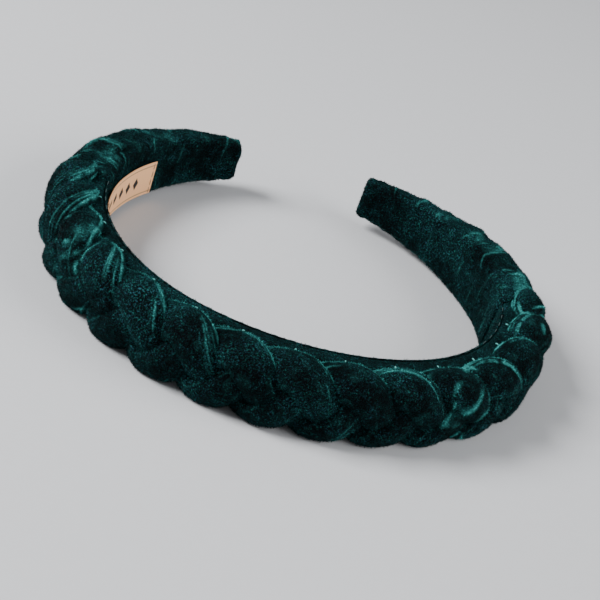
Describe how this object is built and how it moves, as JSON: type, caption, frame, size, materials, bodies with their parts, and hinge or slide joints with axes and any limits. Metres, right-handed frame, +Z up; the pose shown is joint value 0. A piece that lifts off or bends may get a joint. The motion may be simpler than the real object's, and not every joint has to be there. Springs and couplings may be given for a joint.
{
  "type": "plaited velvet headband",
  "caption": "Padded springy hair band: a velvet-covered plastic hoop with a stuffed three-strand velvet plait round its outside and plain wrapped arms.",
  "frame": {"origin": "centre of the band's footprint, on the surface it lies on", "axes": "the band lies on its side: +Z is up across its width, -Y is the crown of the hoop, +Y is the open side with the arm tips, and the label is inside the -X arm"},
  "size_m": [0.1571, 0.1274, 0.02],
  "materials": {
    "velvet": "crushed dark green velvet, short pile",
    "core_plastic": "plain moulded polypropylene",
    "foam": "soft open-cell foam",
    "tape": "thin double-sided tape",
    "wadding": "loose polyester wadding",
    "thread": "dark green sewing thread",
    "label_satin": "pale peach woven satin",
    "label_thread": "peach sewing thread"
  },
  "bodies": {
    "root": {"core_band": "core_plastic", "foam_tape": "tape", "foam_pad": "foam", "band_cover": "velvet", "inner_lining": "velvet", "lining_stitches": "thread", "strand_sleeve_1": "velvet", "strand_sleeve_2": "velvet", "strand_sleeve_3": "velvet", "strand_filling_1": "wadding", "strand_filling_2": "wadding", "strand_filling_3": "wadding", "tail_binding_left": "thread", "tail_binding_right": "thread", "plait_tacks": "thread", "arm_wrap_left": "velvet", "arm_wrap_right": "velvet", "wrap_stitches_left": "thread", "wrap_stitches_right": "thread", "woven_label": "label_satin", "label_stitches": "label_thread"}
  },
  "joints": []
}
